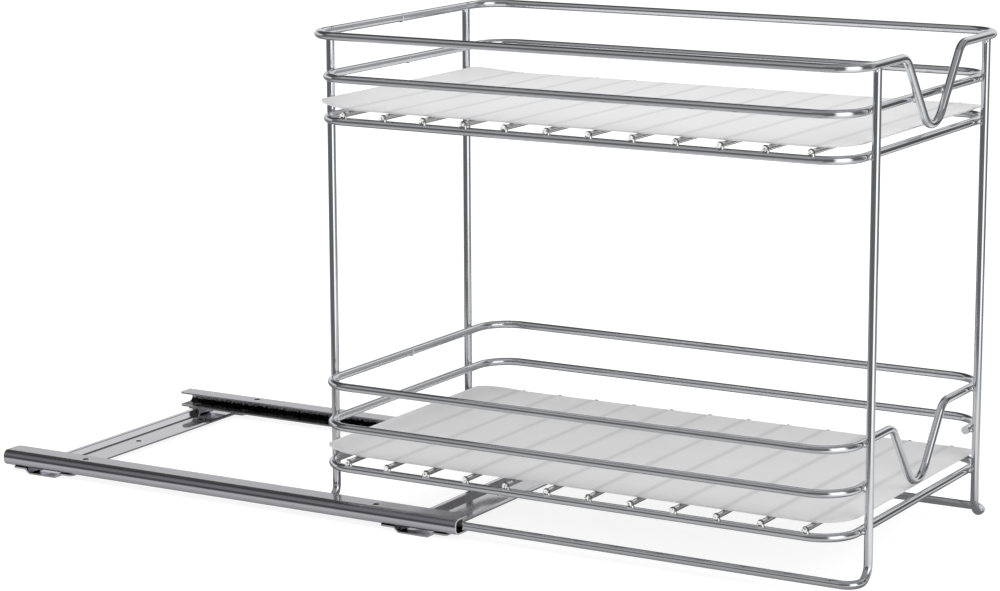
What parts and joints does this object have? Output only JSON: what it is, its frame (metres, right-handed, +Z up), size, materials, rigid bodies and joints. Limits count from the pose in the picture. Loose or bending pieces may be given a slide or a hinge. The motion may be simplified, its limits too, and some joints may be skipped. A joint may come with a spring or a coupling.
{
  "type": "pull out cabinet basket",
  "caption": "Two-tier chrome wire basket that pulls out on a screw-down base frame with channel rails, with a pull notch in each front rim and loose frosted liners.",
  "frame": {"origin": "on the cabinet floor, at the centre of the base frame's four outer screw holes", "axes": "+Z up; the basket pulls out towards -Y; +X is the right side as seen from the front"},
  "size_m": [0.26, 0.7292, 0.3641],
  "materials": {
    "frame_wire_chrome": "bright chrome plate on drawn steel wire",
    "cross_wire_chrome": "bright chrome plate on drawn steel wire",
    "rail_steel": "satin plated, fine grain along the rail",
    "brace_steel": "bright plated sheet, softly reflecting",
    "rivet_steel": "smooth plated round head",
    "nylon": "smooth moulded nylon",
    "frosted_liner": "frosted translucent sheet, faintly ribbed"
  },
  "bodies": {
    "base": {"left_rail": "rail_steel", "right_rail": "rail_steel", "front_brace": "brace_steel", "rear_brace": "brace_steel", "brace_rivets": "rivet_steel", "left_guide": "nylon", "right_guide": "nylon"},
    "basket": {"left_side_frame": "frame_wire_chrome", "right_side_frame": "frame_wire_chrome", "left_slider": "nylon", "right_slider": "nylon", "lower_base_ring": "frame_wire_chrome", "lower_mid_rail": "frame_wire_chrome", "lower_top_rim": "frame_wire_chrome", "upper_base_ring": "frame_wire_chrome", "upper_mid_rail": "frame_wire_chrome", "upper_top_rim": "frame_wire_chrome", "lower_cross_wire_01": "cross_wire_chrome", "lower_cross_wire_02": "cross_wire_chrome", "lower_cross_wire_03": "cross_wire_chrome", "lower_cross_wire_04": "cross_wire_chrome", "lower_cross_wire_05": "cross_wire_chrome", "lower_cross_wire_06": "cross_wire_chrome", "lower_cross_wire_07": "cross_wire_chrome", "lower_cross_wire_08": "cross_wire_chrome", "lower_cross_wire_09": "cross_wire_chrome", "lower_cross_wire_10": "cross_wire_chrome", "lower_cross_wire_11": "cross_wire_chrome", "lower_cross_wire_12": "cross_wire_chrome", "upper_cross_wire_01": "cross_wire_chrome", "upper_cross_wire_02": "cross_wire_chrome", "upper_cross_wire_03": "cross_wire_chrome", "upper_cross_wire_04": "cross_wire_chrome", "upper_cross_wire_05": "cross_wire_chrome", "upper_cross_wire_06": "cross_wire_chrome", "upper_cross_wire_07": "cross_wire_chrome", "upper_cross_wire_08": "cross_wire_chrome", "upper_cross_wire_09": "cross_wire_chrome", "upper_cross_wire_10": "cross_wire_chrome", "upper_cross_wire_11": "cross_wire_chrome", "upper_cross_wire_12": "cross_wire_chrome"},
    "lower_liner": {"lower_liner": "frosted_liner"},
    "upper_liner": {"upper_liner": "frosted_liner"}
  },
  "joints": [
    {"name": "basket_slide", "type": "slide", "parent": "base", "child": "basket", "axis": [0, 1, 0], "range_m": [0, 0.302]},
    {"name": "lower_liner_lift", "type": "slide", "parent": "basket", "child": "lower_liner", "axis": [0, 0, 1], "range_m": [0, 0.013]},
    {"name": "upper_liner_lift", "type": "slide", "parent": "basket", "child": "upper_liner", "axis": [0, 0, 1], "range_m": [0, 0.013]}
  ]
}
